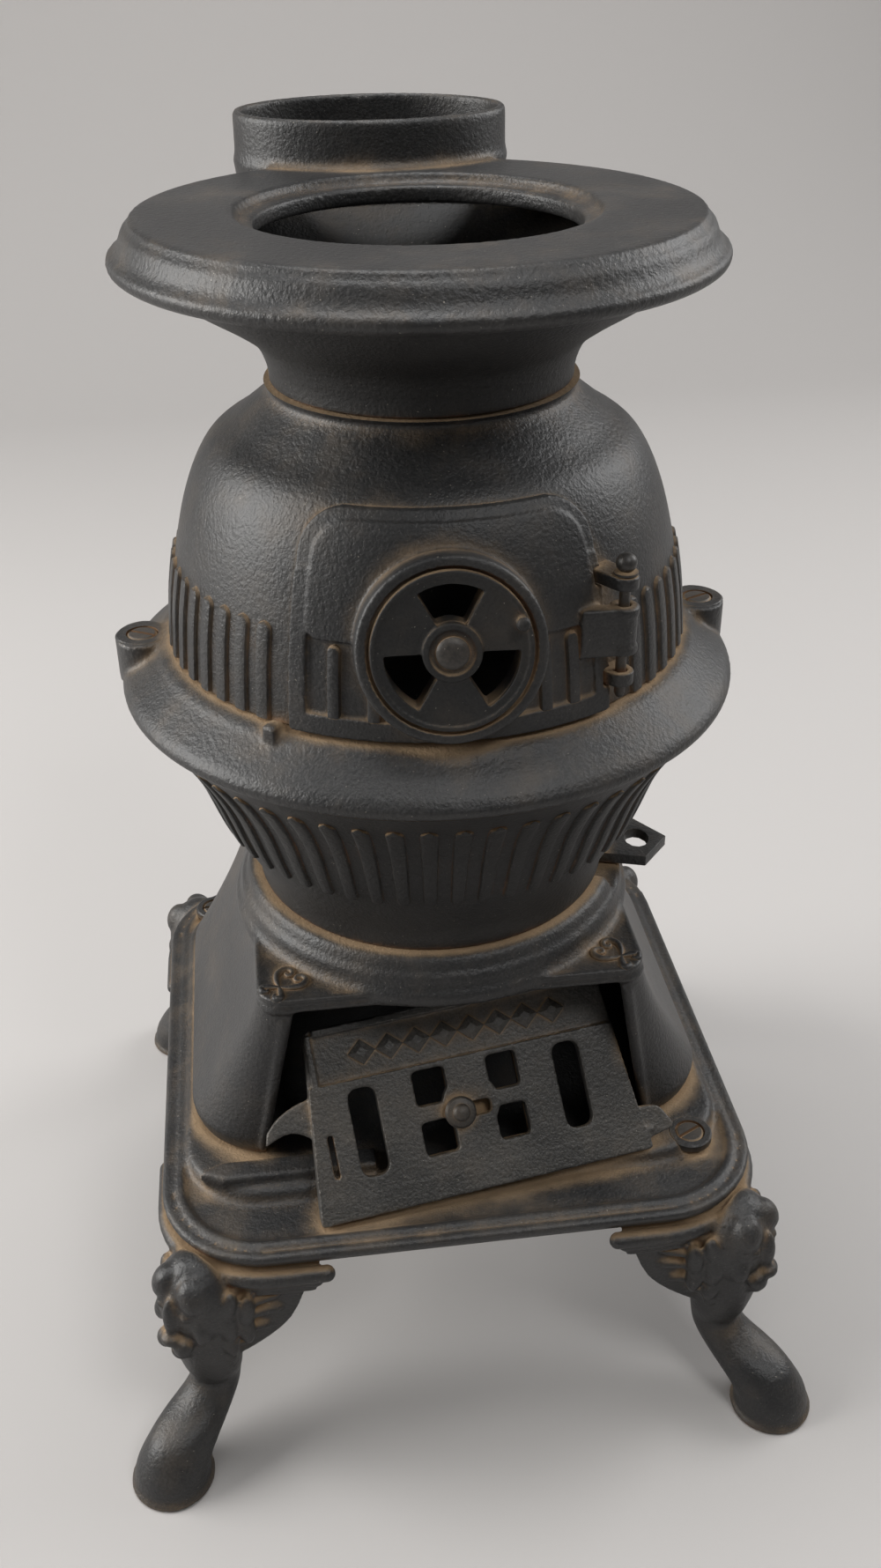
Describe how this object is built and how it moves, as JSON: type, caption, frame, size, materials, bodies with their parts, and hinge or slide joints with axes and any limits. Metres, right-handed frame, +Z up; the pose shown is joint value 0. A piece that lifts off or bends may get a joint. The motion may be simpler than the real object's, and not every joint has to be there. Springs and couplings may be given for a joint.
{
  "type": "potbelly stove",
  "caption": "Miniature cast-iron potbelly stove with round fire pot, hinged feed door, turning draft wheel, leaning ash door and four cabriole legs.",
  "frame": {"origin": "on the floor under the middle of the four feet, on the stove's upright axis", "axes": "+Z up the stove's axis, -Y out of the feed door and ash door, +X towards the shaker bar"},
  "size_m": [0.2018, 0.2146, 0.3405],
  "materials": {
    "black_iron": "oiled black casting, pebbly, dusty in the corners",
    "fired_iron": "casting browned by fire",
    "dark_steel": "darkened steel"
  },
  "bodies": {
    "stove": {"top_plate": "black_iron", "throat_ring": "black_iron", "fire_dome": "black_iron", "hinge_pin": "dark_steel", "belly_ring": "black_iron", "fire_pot": "black_iron", "ring_right_screw": "dark_steel", "ring_right_nut": "dark_steel", "ring_left_screw": "dark_steel", "ring_left_nut": "dark_steel", "grate_pivot": "dark_steel", "ash_pit": "black_iron", "base_plate": "black_iron", "leg_front_left": "black_iron", "leg_front_left_screw": "dark_steel", "leg_front_right": "black_iron", "leg_front_right_screw": "dark_steel", "leg_front_right_nut": "dark_steel", "leg_back_left": "black_iron", "leg_back_left_screw": "dark_steel", "leg_back_left_nut": "dark_steel", "leg_back_right": "black_iron", "leg_back_right_screw": "dark_steel", "leg_back_right_nut": "dark_steel"},
    "feed_door": {"feed_door": "black_iron", "draft_rivet": "dark_steel"},
    "draft_wheel": {"draft_wheel": "black_iron"},
    "ash_door": {"ash_door": "black_iron"},
    "draft_slide": {"draft_slide": "fired_iron", "slide_knob": "black_iron"},
    "grate": {"grate": "fired_iron", "shaker_bar": "black_iron"}
  },
  "joints": [
    {"name": "feed_door_swing", "type": "hinge", "parent": "stove", "child": "feed_door", "pos_m": [0.0393, -0.0595, 0.244], "axis": [0, 0, 1], "range_deg": [0, 110]},
    {"name": "draft_wheel_turn", "type": "hinge", "parent": "feed_door", "child": "draft_wheel", "pos_m": [-0.0025, -0.071, 0.2473], "axis": [-0.0343, -0.981, 0.1908], "continuous": true},
    {"name": "ash_door_tip", "type": "hinge", "parent": "stove", "child": "ash_door", "pos_m": [-0.0397, -0.0791, 0.0773], "axis": [0.99, 0.1353, 0.0408], "range_deg": [0, 70]},
    {"name": "draft_slide_run", "type": "slide", "parent": "ash_door", "child": "draft_slide", "axis": [0.99, 0.1353, 0.0408], "range_m": [0, 0.0075]},
    {"name": "grate_shake", "type": "hinge", "parent": "stove", "child": "grate", "pos_m": [0, 0, 0.145], "axis": [0, 0, 1], "range_deg": [-10, 10]}
  ]
}
